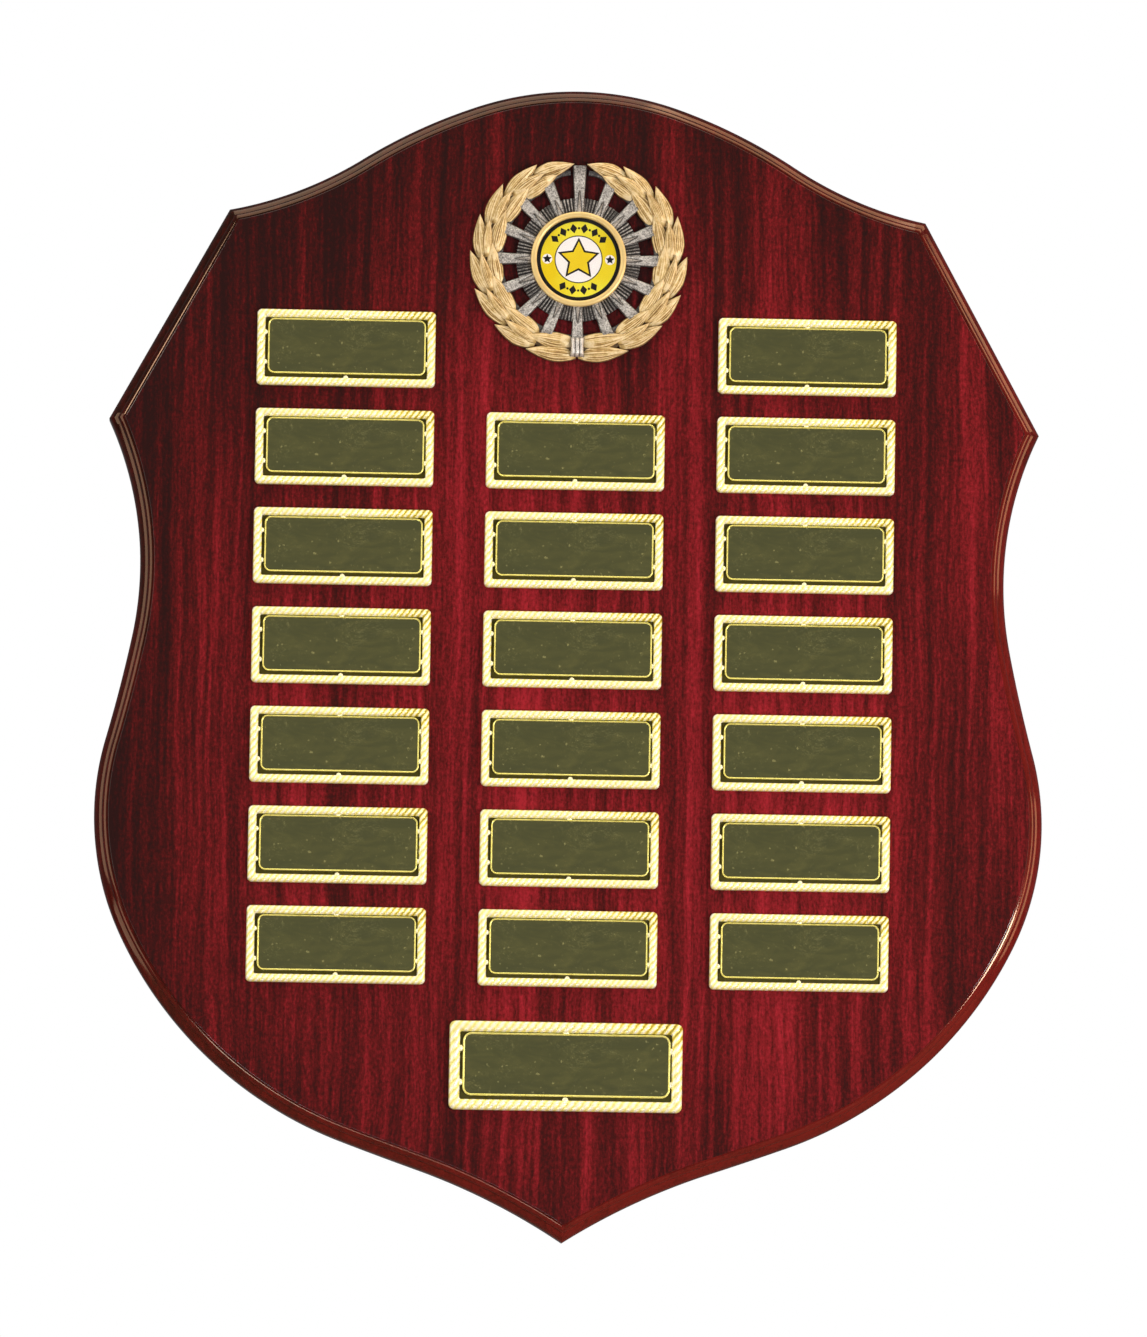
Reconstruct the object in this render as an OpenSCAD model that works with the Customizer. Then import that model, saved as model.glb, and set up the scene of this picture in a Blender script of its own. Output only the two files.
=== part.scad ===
// Shield-shaped wall plaque with a medallion and rows of small framed name plates.
// +Z is up the wall, the front faces -Y and the back lies on the wall plane y = 0.
// The origin is the seat of the keyhole hanger, where the wall screw's shank bears.

/* [Board] */
// thickness from the front face to the wall
board_t = 16; // [10:0.5:25]
// height of the hanger seat above the bottom tip
seat_h = 300; // [260:1:320]
// thickness of the front and back veneers
veneer_t = 0.5; // [0.3:0.1:1]
// chamfer along the back edge
back_chamfer = 0.8; // [0:0.1:2]

/* [Moulding] */
// width of the moulded edge seen from the front
mould_w = 4.2; // [3:0.1:8]
// radius of the inner quarter-round bead
bead_in_r = 1.9; // [1:0.1:3]
// step from the face down to the inner bead
quirk_in = 1.1; // [0.6:0.1:2]
// step between the two beads
quirk_out = 0.5; // [0.2:0.1:1.5]
// slope of the outer bead where it leaves the step
bead_out_lean = 28; // [0:1:40]

/* [Hanger] */
// width of the steel hanger plate
hanger_w = 19; // [16:0.5:24]
// height of the steel hanger plate
hanger_h = 54; // [46:1:70]
// thickness of the steel hanger plate
hanger_t = 1.5; // [1:0.1:2]
// radius of the hole that passes over the screw head
entry_r = 5; // [4:0.1:6]
// half width of the slot, and the radius of its seat
slot_r = 2.4; // [1.8:0.1:3]
// drop from the seat to the centre of the entry hole
entry_drop = 9; // [7:0.5:14]
// depth of the pocket behind the plate, from the wall
pocket_depth = 7.5; // [5:0.5:10]

/* [Year plates] */
// width of a small frame
frame_w = 53.4; // [40:0.1:60]
// height of a small frame
frame_h = 22.8; // [16:0.1:28]
// thickness of a frame
frame_t = 2.4; // [1.5:0.1:4]
// width of the frame's border
border_w = 2.45; // [1.5:0.05:4]
// floor thickness behind the plate
floor_t = 0.8; // [0.5:0.1:1.5]
// distance between column centres
col_pitch = 69.1; // [60:0.1:80]
// distance between row centres
row_pitch = 29.8; // [26:0.1:40]
// height of the top row's centre
top_row_z = -33.9; // [-60:0.1:0]
// rows in the outer columns
rows = 7; // [3:1:8]

/* [Title plate] */
// width of the title frame
title_w = 69.5; // [50:0.1:80]
// height of the title frame
title_h = 26.5; // [20:0.1:34]
// height of the title plate's centre
title_z = -247.9; // [-260:0.1:-200]

/* [Medallion] */
// height of the medallion's centre
medal_z = -5.9; // [-20:0.1:10]
// radius of the branches' centre line
stem_r = 27.9; // [24:0.1:32]
// length of a leaf
leaf_len = 13.6; // [9:0.1:16]
// width of a leaf
leaf_w = 4.7; // [3:0.1:6]
// radius of the fluted hub
hub_r = 18.3; // [15:0.1:22]
// radius of the seat for the round insert
insert_r = 12.7; // [10:0.1:15]
// number of spokes
spokes = 16; // [8:1:24]
// width of a spoke at the wreath
spoke_w = 4.2; // [2:0.1:5]
// leaf groups on each branch
leaf_rows = 8; // [5:1:10]

/* [Hidden] */
$fn = 96;
face_y = -board_t;
chord = 7;
film_t = 0.2;
tape_t = 0.3;
plate_t = 0.6;
plate_gap = 0.5;
frame_corner_r = 1.4;
plate_corner_r = 1.8;
nib_r = 0.6;
screw_spacing = 42;
hanger_centre_z = -4.5;
hanger_gap = 0.2;
screw_r = 1.7;
screw_head_r = 3.5;
screw_head_t = 1.9;
screw_len = 13;
screw_tip = 2.5;
pilot_gap = 0.05;
drive_w = 0.8;
drive_l = 3.6;
drive_depth = 1;
medal_tape_t = 0.5;
medal_back = medal_tape_t;
hub_top = 3.3;
spoke_top = 2.9;
ring_top = 1.9;
bezel_r = 14.3;
spoke_root_w = 2.9;
bezel_top = 4.4;
insert_floor = 2.4;
insert_film = 0.1;
insert_disc_r = 12.5;
insert_disc_t = 0.4;
dome_rise = 1.3;
leaf_spread = 1.7;
leaf_first_a = 17.5;
leaf_last_a = 163;
ring_in = 5.2;
ring_out = 1.4;
leaf_low_top = 2.7;
leaf_out_top = 3.2;
leaf_mid_top = 3.9;
band_r = 26.4;
band_w = 4.3;
band_h = 5.7;
band_top = 4.6;
band_ribs = 3;

// right half of the outline, from the apex down to the tip: tangent arcs as [radius, turn]
apex = [0, 346.2];
crown_arcs = [[93, 19], [162, 13.7], [115, -21.4]];
horn = [139.6, 244.6];
horn_heading = -115.3;
side_arcs = [[105, -36.6], [444, -4.1], [83, 40.8], [120, 44.4], [996, 1.4], [198, -14]];
tip = [0, 0];

// moulding profile as [inset from the outline, depth behind the face]
bead_out_r = (mould_w - bead_in_r) / (1 - sin(bead_out_lean));
bead_in_end = quirk_in + bead_in_r;
bead_out_start = bead_in_end + quirk_out;
profile = concat(
    [[mould_w, veneer_t]],
    [for (a = [0:22.5:90]) [mould_w - bead_in_r * sin(a), quirk_in + bead_in_r * (1 - cos(a))]],
    [for (k = [0:4])
        let (a = bead_out_lean + (90 - bead_out_lean) * k / 4)
        [bead_out_r * (1 - sin(a)), bead_out_start + bead_out_r * (cos(bead_out_lean) - cos(a))]],
    [[0, board_t - veneer_t - back_chamfer]],
    [[back_chamfer, board_t - veneer_t]]
);

// centres of the small plates as [x, z]: left column, centre column, right column, top to bottom
spots = concat(
    [for (k = [0:rows - 1]) [-col_pitch, top_row_z - k * row_pitch]],
    [for (k = [1:rows - 1]) [0, top_row_z - k * row_pitch]],
    [for (k = [0:rows - 1]) [col_pitch, top_row_z - k * row_pitch]]
);

// outline helpers: p is the start, a the heading, arc is [radius, turn], clockwise turns positive
function arc_at(p, a, arc, f) =
    let (s = sign(arc[1]), c = p + arc[0] * [cos(a - 90 * s), sin(a - 90 * s)])
    c + arc[0] * [cos(a + 90 * s - arc[1] * f), sin(a + 90 * s - arc[1] * f)];
function arc_run(p, a, arc) =
    let (n = ceil(arc[0] * abs(arc[1]) * PI / 180 / chord))
    [for (k = [1:n]) arc_at(p, a, arc, k / n)];
function arc_chain(p, a, arcs, i = 0) =
    i == len(arcs) ? [] : concat(
        arc_run(p, a, arcs[i]),
        arc_chain(arc_at(p, a, arcs[i], 1), a - arcs[i][1], arcs, i + 1)
    );

side_points = arc_chain(horn, horn_heading, side_arcs);
right_side = concat(
    [apex],
    arc_chain(apex, 0, crown_arcs),
    [horn],
    [for (i = [0:len(side_points) - 2]) side_points[i]],
    [tip]
);
last_right = len(right_side) - 1;
outline = concat(
    right_side,
    [for (i = [last_right - 1:-1:1]) [-right_side[i][0], right_side[i][1]]]
);
count = len(outline);

// inward mitre vector at each outline point
function unit(v) = v / norm(v);
function inward(v) = [v[1], -v[0]];
mitres = [for (i = [0:count - 1])
    let (
        n1 = inward(unit(outline[i] - outline[(i + count - 1) % count])),
        n2 = inward(unit(outline[(i + 1) % count] - outline[i]))
    )
    (n1 + n2) / (1 + n1 * n2)];
function inset_outline(d) = [for (i = [0:count - 1]) outline[i] + d * mitres[i] - [0, seat_h]];

// a flat shape drawn in x and z, filling the space from y0 forward to y0 - t
module slab(y0, t) {
    translate([0, y0, 0]) rotate([90, 0, 0]) linear_extrude(height = t) children();
}

module rounded(w, h, r) {
    square([w - 2 * r, h], center = true);
    square([w, h - 2 * r], center = true);
    for (sx = [-1, 1]) {
        for (sy = [-1, 1]) {
            translate([sx * (w / 2 - r), sy * (h / 2 - r)]) circle(r);
        }
    }
}

// a rod along Y from y0 to y1
module rod(r, y0, y1) {
    translate([0, y0, 0]) rotate([-90, 0, 0]) cylinder(r = r, h = y1 - y0);
}

// recess for the hanger plate, open at the wall
module hanger_recess() {
    translate([0, 0, hanger_centre_z])
        slab(1, hanger_t + 1)
            rounded(hanger_w + 2 * hanger_gap, hanger_h + 2 * hanger_gap, 3.2);
}

module mould_body() {
    rings = len(profile);
    points = [for (p = profile) for (q = inset_outline(p[0])) [q[0], p[1] - board_t, q[1]]];
    sides = [for (j = [0:rings - 2]) for (i = [0:count - 1])
        let (a = j * count + i, b = j * count + (i + 1) % count)
        for (t = [[a, a + count, b + count], [a, b + count, b]]) t];
    front = [for (i = [0:count - 1]) i];
    back = [for (i = [count - 1:-1:0]) (rings - 1) * count + i];
    polyhedron(points = points, faces = concat([front], sides, [back]));
}

// engineered core with the moulded edge, routed at the back for the hanger
module board_core() {
    color([0.36, 0.14, 0.11]) difference() {
        mould_body();
        hanger_recess();
        translate([-7, -pocket_depth, -16]) cube([14, pocket_depth, 23]);
        for (s = [-1, 1]) {
            translate([0, 0, hanger_centre_z + s * screw_spacing / 2])
                rod(screw_r + pilot_gap, -screw_len - 0.5, 0);
        }
    }
}

module front_veneer() {
    color([0.36, 0.1, 0.09])
        slab(face_y + veneer_t, veneer_t) polygon(inset_outline(mould_w));
}

module back_veneer() {
    color([0.4, 0.2, 0.14]) difference() {
        slab(0, veneer_t) polygon(inset_outline(back_chamfer));
        hanger_recess();
    }
}

module keyhole_hanger() {
    color([0.72, 0.73, 0.75]) difference() {
        translate([0, 0, hanger_centre_z]) slab(0, hanger_t) rounded(hanger_w, hanger_h, 3);
        rod(slot_r, -hanger_t - 1, 1);
        translate([-slot_r, -hanger_t - 1, -entry_drop]) cube([2 * slot_r, hanger_t + 2, entry_drop]);
        translate([0, 0, -entry_drop]) rod(entry_r, -hanger_t - 1, 1);
        for (s = [-1, 1]) {
            translate([0, 0, hanger_centre_z + s * screw_spacing / 2]) screw_body(pilot_gap);
        }
    }
}

// countersunk screw standing in from the wall plane, grown by g all round
module screw_body(g) {
    rotate([90, 0, 0]) {
        cylinder(r1 = screw_head_r + g, r2 = screw_r + g, h = screw_head_t);
        cylinder(r = screw_r + g, h = screw_len - screw_tip);
        translate([0, 0, screw_len - screw_tip]) cylinder(r1 = screw_r + g, r2 = 0.3, h = screw_tip);
    }
}

module hanger_screws() {
    color([0.66, 0.62, 0.5])
    for (s = [-1, 1]) {
        translate([0, 0, hanger_centre_z + s * screw_spacing / 2]) difference() {
            screw_body(0);
            for (a = [0, 90]) {
                rotate([0, a, 0]) cube([drive_l, 2 * drive_depth, drive_w], center = true);
            }
        }
    }
}

// pointed leaf outline of length l and width w, lying along y
module leaf(l, w) {
    r = (l * l + w * w) / (4 * w);
    intersection() {
        translate([r - w / 2, 0]) circle(r);
        translate([w / 2 - r, 0]) circle(r);
    }
}

// one leaf of each group on both branches, which grow up from the band at the bottom
module leaf_set(radial, shift, lean, l, w) {
    step = (leaf_last_a - leaf_first_a) / (leaf_rows - 1);
    for (side = [0, 1]) {
        mirror([side, 0]) for (k = [0:leaf_rows - 1]) {
            rotate(leaf_first_a + k * step + shift - 90)
                translate([stem_r + radial, 0]) rotate(lean) leaf(l, w);
        }
    }
}

// flat bar from the bezel out to the wreath, wider at the wreath
module spoke() {
    polygon([
        [insert_r, -spoke_root_w / 2], [stem_r, -spoke_w / 2],
        [stem_r, spoke_w / 2], [insert_r, spoke_root_w / 2]
    ]);
}

module at_medal() {
    translate([0, face_y, medal_z]) rotate([90, 0, 0]) children();
}

module medal_casting() {
    color([0.8, 0.66, 0.32]) at_medal() difference() {
        translate([0, 0, medal_back]) union() {
            cylinder(r = hub_r, h = hub_top - medal_back);
            cylinder(r = bezel_r, h = bezel_top - medal_back);
            for (k = [0:spokes - 1]) {
                rotate(k * 360 / spokes) linear_extrude(height = spoke_top - medal_back) spoke();
            }
            difference() {
                cylinder(r = stem_r + ring_out, h = ring_top - medal_back);
                translate([0, 0, -1]) cylinder(r = stem_r - ring_in, h = ring_top + 1);
            }
            linear_extrude(height = leaf_low_top - medal_back)
                leaf_set(-leaf_spread, 0, 5, leaf_len, leaf_w);
            linear_extrude(height = leaf_out_top - medal_back)
                leaf_set(leaf_spread, 0, -10, leaf_len, leaf_w);
            linear_extrude(height = leaf_mid_top - medal_back)
                leaf_set(0, 4, -2, leaf_len - 2, leaf_w - 1.2);
            translate([0, -band_r, (band_top - medal_back) / 2])
                cube([band_w, band_h, band_top - medal_back], center = true);
            for (k = [0:band_ribs - 1]) {
                translate([(k + 0.5 - band_ribs / 2) * band_w / band_ribs, -band_r, band_top - medal_back])
                    rotate([90, 0, 0]) cylinder(r = 0.45, h = band_h, center = true);
            }
        }
        translate([0, 0, insert_floor]) cylinder(r = insert_r, h = bezel_top);
    }
}

module medal_tape() {
    color([0.9, 0.9, 0.88]) at_medal() cylinder(r = 15, h = medal_tape_t);
}

module insert_tape() {
    color([0.93, 0.93, 0.9]) at_medal()
        translate([0, 0, insert_floor]) cylinder(r = insert_disc_r - 0.6, h = insert_film);
}

module insert_disc() {
    color([0.95, 0.82, 0.1]) at_medal()
        translate([0, 0, insert_floor + insert_film]) cylinder(r = insert_disc_r, h = insert_disc_t);
}

// clear domed cap over the insert
module insert_dome() {
    rim_r = insert_disc_r - 0.1;
    ball_r = (rim_r * rim_r + dome_rise * dome_rise) / (2 * dome_rise);
    color([0.9, 0.95, 1, 0.4]) at_medal()
        translate([0, 0, insert_floor + insert_film + insert_disc_t])
            rotate_extrude() intersection() {
                translate([0, dome_rise - ball_r]) circle(ball_r, $fn = 720);
                square([insert_disc_r, dome_rise + 1]);
            }
}

// shallow tray frame: floor, raised border and small nibs that keep the plate centred
module plate_frame(w, h, k) {
    b = border_w * k;
    iw = w - 2 * b;
    ih = h - 2 * b;
    color([0.85, 0.72, 0.38]) difference() {
        slab(face_y - tape_t, frame_t) rounded(w, h, frame_corner_r * k);
        difference() {
            slab(face_y - tape_t - floor_t, frame_t) rounded(iw, ih, plate_corner_r * k);
            for (s = [-1, 1]) {
                translate([0, 0, s * ih / 2]) rod(nib_r, face_y - tape_t - frame_t - 1, face_y);
                for (t = [-1, 1]) {
                    translate([s * iw / 2, 0, t * ih / 4]) rod(nib_r, face_y - tape_t - frame_t - 1, face_y);
                }
            }
        }
    }
}

module name_plate(w, h, k) {
    inset = 2 * (border_w * k + plate_gap) + 2 * (nib_r - plate_gap);
    color([0.55, 0.54, 0.3])
        slab(face_y - tape_t - floor_t - film_t, plate_t)
            rounded(w - inset - 0.1, h - inset - 0.1, plate_corner_r * k);
}

module at_spot(i) {
    translate([spots[i][0], 0, spots[i][1]]) children();
}

module year_frame(i) {
    at_spot(i) plate_frame(frame_w, frame_h, 1);
}

module year_plate(i) {
    at_spot(i) name_plate(frame_w, frame_h, 1);
}

module title_frame() {
    translate([0, 0, title_z]) plate_frame(title_w, title_h, title_w / frame_w);
}

module title_plate() {
    translate([0, 0, title_z]) name_plate(title_w, title_h, title_w / frame_w);
}

// foam tape under every frame
module frame_tapes() {
    color([0.92, 0.92, 0.9]) {
        for (i = [0:len(spots) - 1]) {
            at_spot(i) slab(face_y, tape_t) square([frame_w - 6, frame_h - 6], center = true);
        }
        translate([0, 0, title_z]) slab(face_y, tape_t) square([title_w - 8, title_h - 8], center = true);
    }
}

// adhesive film behind every plate
module plate_films() {
    y0 = face_y - tape_t - floor_t;
    color([0.95, 0.95, 0.93]) {
        for (i = [0:len(spots) - 1]) {
            at_spot(i) slab(y0, film_t) square([frame_w - 10, frame_h - 9], center = true);
        }
        translate([0, 0, title_z]) slab(y0, film_t) square([title_w - 12, title_h - 11], center = true);
    }
}

board_core();
front_veneer();
back_veneer();
keyhole_hanger();
hanger_screws();
medal_casting();
medal_tape();
insert_tape();
insert_disc();
insert_dome();
frame_tapes();
plate_films();
title_frame();
title_plate();
year_frame(0);  // year_frame_01
year_frame(1);  // year_frame_02
year_frame(2);  // year_frame_03
year_frame(3);  // year_frame_04
year_frame(4);  // year_frame_05
year_frame(5);  // year_frame_06
year_frame(6);  // year_frame_07
year_frame(7);  // year_frame_08
year_frame(8);  // year_frame_09
year_frame(9);  // year_frame_10
year_frame(10);  // year_frame_11
year_frame(11);  // year_frame_12
year_frame(12);  // year_frame_13
year_frame(13);  // year_frame_14
year_frame(14);  // year_frame_15
year_frame(15);  // year_frame_16
year_frame(16);  // year_frame_17
year_frame(17);  // year_frame_18
year_frame(18);  // year_frame_19
year_frame(19);  // year_frame_20
year_plate(0);  // year_plate_01
year_plate(1);  // year_plate_02
year_plate(2);  // year_plate_03
year_plate(3);  // year_plate_04
year_plate(4);  // year_plate_05
year_plate(5);  // year_plate_06
year_plate(6);  // year_plate_07
year_plate(7);  // year_plate_08
year_plate(8);  // year_plate_09
year_plate(9);  // year_plate_10
year_plate(10);  // year_plate_11
year_plate(11);  // year_plate_12
year_plate(12);  // year_plate_13
year_plate(13);  // year_plate_14
year_plate(14);  // year_plate_15
year_plate(15);  // year_plate_16
year_plate(16);  // year_plate_17
year_plate(17);  // year_plate_18
year_plate(18);  // year_plate_19
year_plate(19);  // year_plate_20
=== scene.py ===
"""A shield-shaped wall plaque: mahogany board, wreath medallion, framed name plates, keyhole hanger."""

import math
import random

import bmesh
import bpy
from mathutils import Matrix, Quaternion, Vector


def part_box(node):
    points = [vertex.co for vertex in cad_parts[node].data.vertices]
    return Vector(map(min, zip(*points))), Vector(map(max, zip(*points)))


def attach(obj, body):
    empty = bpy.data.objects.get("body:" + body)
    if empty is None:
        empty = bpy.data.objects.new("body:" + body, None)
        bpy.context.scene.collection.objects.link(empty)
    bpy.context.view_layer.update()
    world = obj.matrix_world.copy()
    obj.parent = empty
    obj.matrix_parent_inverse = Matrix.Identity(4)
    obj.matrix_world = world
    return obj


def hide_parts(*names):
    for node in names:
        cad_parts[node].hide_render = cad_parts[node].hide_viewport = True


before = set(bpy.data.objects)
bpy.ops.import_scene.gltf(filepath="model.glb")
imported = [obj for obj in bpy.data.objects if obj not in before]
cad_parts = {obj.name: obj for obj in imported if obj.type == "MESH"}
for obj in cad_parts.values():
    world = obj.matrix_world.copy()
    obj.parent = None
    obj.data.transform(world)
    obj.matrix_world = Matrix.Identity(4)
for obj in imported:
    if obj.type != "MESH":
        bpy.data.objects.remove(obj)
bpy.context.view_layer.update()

MM = 0.001
SMOOTH_ANGLE = 35
FLAT_AREA = 1.5 * MM * MM    # a face at least this large, square to Y, is shaded flat

# ---- places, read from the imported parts, in metres ----

core_low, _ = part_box("board_core")
veneer_low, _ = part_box("front_veneer")
_, back_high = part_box("back_veneer")
hanger_low, hanger_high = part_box("keyhole_hanger")
disc_low, disc_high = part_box("insert_disc")
FACE_Y = veneer_low.y
WALL_Y = back_high.y
MEDAL_X = (disc_low.x + disc_high.x) / 2
MEDAL_Z = (disc_low.z + disc_high.z) / 2

# ---- the board's outline and moulding, in millimetres, as the CAD has them ----

APEX_H = 346.2
CROWN_ARCS = [(93, 19), (162, 13.7), (115, -21.4)]
HORN = (139.6, 244.6)
HORN_HEADING = -115.3
SIDE_ARCS = [(105, -36.6), (444, -4.1), (83, 40.8), (120, 44.4), (996, 1.4), (198, -14)]
MOULD_W = 4.2
BEAD_IN = 1.9
BEAD_OUT_LEAN = 28
BEAD_OUT = (MOULD_W - BEAD_IN) / (1 - math.sin(math.radians(BEAD_OUT_LEAN)))
QUIRK_IN = 1.1
QUIRK_OUT = 0.5
BACK_CHAMFER = 0.8
CORNER_CLEAR = 3.0
VENEER_T = 0.5
VENEER_EASE = 0.25
BOARD_T = (WALL_Y - FACE_Y) / MM

# corners of a rectangle from the top right, clockwise: side in x, side in z, degrees where it starts
CORNERS = ((1, 1, 90), (1, -1, 0), (-1, -1, -90), (-1, 1, -180))


# ---- small helpers for meshes ----


def new_object(name, verts, faces, material, smooth_angle=SMOOTH_ANGLE):
    """A mesh object from points in metres and faces; no smooth_angle leaves its faces flat."""
    mesh = bpy.data.meshes.new(name)
    mesh.from_pydata([tuple(v) for v in verts], [], faces)
    bm = bmesh.new()
    bm.from_mesh(mesh)
    bmesh.ops.recalc_face_normals(bm, faces=bm.faces)
    bm.to_mesh(mesh)
    bm.free()
    if smooth_angle:
        shade(mesh, smooth_angle)
    for item in material if isinstance(material, (list, tuple)) else [material]:
        mesh.materials.append(item)
    ob = bpy.data.objects.new(name, mesh)
    bpy.context.scene.collection.objects.link(ob)
    return ob


def shade(mesh, smooth_angle):
    """Soft shading between sharp edges, with the large flat faces kept truly flat."""
    mesh.shade_smooth()
    mesh.set_sharp_from_angle(angle=math.radians(smooth_angle))
    sharp = mesh.attributes.get("sharp_edge") or mesh.attributes.new("sharp_edge", "BOOLEAN", "EDGE")
    for polygon in mesh.polygons:
        if polygon.area > FLAT_AREA and abs(polygon.normal.y) > 0.9999:
            for loop in polygon.loop_indices:
                sharp.data[mesh.loops[loop].edge_index].value = True


def place(piece, nodes, slot):
    """Puts a finished piece on the one body, in place of its CAD nodes."""
    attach(piece, "root")
    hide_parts(*nodes)


def box_size(node):
    """Width and height of a CAD node in mm."""
    low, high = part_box(node)
    return (high.x - low.x) / MM, (high.z - low.z) / MM


def loft(rings, close_start=True, close_end=True):
    """Points and faces of a closed skin through equal rings of points."""
    count = len(rings[0])
    verts = [p for ring in rings for p in ring]
    faces = []
    for j in range(len(rings) - 1):
        for i in range(count):
            a, b = j * count + i, j * count + (i + 1) % count
            faces.append((a, a + count, b + count, b))
    if close_start:
        faces.append(tuple(range(count)))
    if close_end:
        last = (len(rings) - 1) * count
        faces.append(tuple(last + i for i in reversed(range(count))))
    return verts, faces


def cut(ob, cutters):
    """Subtracts the cutters from ob and removes them."""
    for tool in cutters:
        mod = ob.modifiers.new("cut", "BOOLEAN")
        mod.operation = "DIFFERENCE"
        mod.solver = "EXACT"
        mod.object = tool
    bpy.context.view_layer.update()
    shaped = bpy.data.meshes.new_from_object(ob.evaluated_get(bpy.context.evaluated_depsgraph_get()))
    ob.modifiers.clear()
    old, ob.data = ob.data, shaped
    bpy.data.meshes.remove(old)
    for tool in cutters:
        bpy.data.objects.remove(tool)
    shade(shaped, SMOOTH_ANGLE)


def smoothstep(x, low, high):
    t = min(max((x - low) / (high - low), 0.0), 1.0)
    return t * t * (3 - 2 * t)


def loft_shield(rings):
    """A skin like loft's whose ends are level strips from the left side to the right."""
    verts, faces = loft(rings, close_start=False, close_end=False)
    count = len(rings[0])
    for start in (0, (len(rings) - 1) * count):
        faces.append((start, start + 1, start + count - 1))
        for i in range(1, count // 2 - 1):
            faces.append((start + i, start + i + 1, start + count - i - 1, start + count - i))
        half = start + count // 2
        faces.append((half - 1, half, half + 1))
    return verts, faces


# ---- outline of the shield ----


def arc_point(start, heading, radius, turn, f):
    """A point at fraction f of an arc; clockwise turns are positive."""
    s = 1 if turn > 0 else -1
    to_centre = math.radians(heading - 90 * s)
    cx = start[0] + radius * math.cos(to_centre)
    cz = start[1] + radius * math.sin(to_centre)
    a = math.radians(heading + 90 * s - turn * f)
    return (cx + radius * math.cos(a), cz + radius * math.sin(a))


def arc_chain(start, heading, arcs, step):
    points = []
    for radius, turn in arcs:
        n = math.ceil(radius * math.radians(abs(turn)) / step)
        points += [arc_point(start, heading, radius, turn, (k + 1) / n) for k in range(n)]
        start, heading = points[-1], heading - turn
    return points


def line_points(a, b, step):
    """Points between a and b, without the ends."""
    n = math.ceil(math.dist(a, b) / step)
    return [(a[0] + (b[0] - a[0]) * k / n, a[1] + (b[1] - a[1]) * k / n) for k in range(1, n)]


def shield_outline(step=1.6):
    """The whole outline, clockwise seen from the front, as [x, height above the tip] in mm."""
    crown = arc_chain((0, APEX_H), 0, CROWN_ARCS, step)
    side = arc_chain(HORN, HORN_HEADING, SIDE_ARCS, step)
    corners = [crown[-1], HORN, (0, 0)]
    edge = [(0, APEX_H), *crown, *line_points(crown[-1], HORN, step), HORN, *side, (0, 0)]
    right = [p for p in edge if p in corners or all(math.dist(p, c) > CORNER_CLEAR for c in corners)]
    left = [(-x, h) for x, h in reversed(right[1:-1])]
    return right + left


def inset_rings(outline, profile):
    """Rings of the outline moved in by each (inset, depth) of the profile, mitred at corners."""
    n = len(outline)
    mitres = []
    for i in range(n):
        before, here, after = outline[i - 1], outline[i], outline[(i + 1) % n]
        d1 = (Vector(here) - Vector(before)).normalized()
        d2 = (Vector(after) - Vector(here)).normalized()
        n1, n2 = Vector((d1.y, -d1.x)), Vector((d2.y, -d2.x))
        mitres.append((n1 + n2) / (1 + n1.dot(n2)))
    base_z = core_low.z
    return [
        [
            ((p[0] + inset * m.x) * MM, FACE_Y + depth * MM, base_z + (p[1] + inset * m.y) * MM)
            for p, m in zip(outline, mitres)
        ]
        for inset, depth in profile
    ]


def bead(depth, end, radius, lean=0, steps=9):
    """Profile of a bead that leaves depth at a slope of lean degrees and faces outwards at its end."""
    first = math.radians(lean)
    turns = [first + (math.pi / 2 - first) * k / steps for k in range(steps + 1)]
    return [
        (end + radius * (1 - math.sin(a)), depth + radius * (math.cos(first) - math.cos(a)))
        for a in turns
    ]


def corner_point(corner, w, h, r, turn=0.0):
    """A point on a round corner of a rectangle, turned clockwise by turn degrees from its start."""
    cx, cz, start = corner
    a = math.radians(start - turn)
    return Vector((cx * (w / 2 - r) + r * math.cos(a), cz * (h / 2 - r) + r * math.sin(a)))


def rounded_ring(w, h, r, y, steps=8, centre=(0, 0)):
    """Points round a rectangle with round corners, in metres, in the plane at y."""
    around = [corner_point(c, w, h, r, 90 * k / steps) for c in CORNERS for k in range(steps + 1)]
    return [((centre[0] + p.x) * MM, y, (centre[1] + p.y) * MM) for p in around]


def circle_points(radius, centre=(0, 0), steps=96):
    turn = [2 * math.pi * k / steps for k in range(steps)]
    return [(centre[0] + radius * math.cos(a), centre[1] + radius * math.sin(a)) for a in turn]


# ---- node trees ----


def srgb(r, g, b):
    """A colour from 0 to 255 as the linear values that shaders use."""
    def linear(c):
        c /= 255
        return c / 12.92 if c <= 0.04045 else ((c + 0.055) / 1.055) ** 2.4
    return (linear(r), linear(g), linear(b), 1.0)


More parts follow.
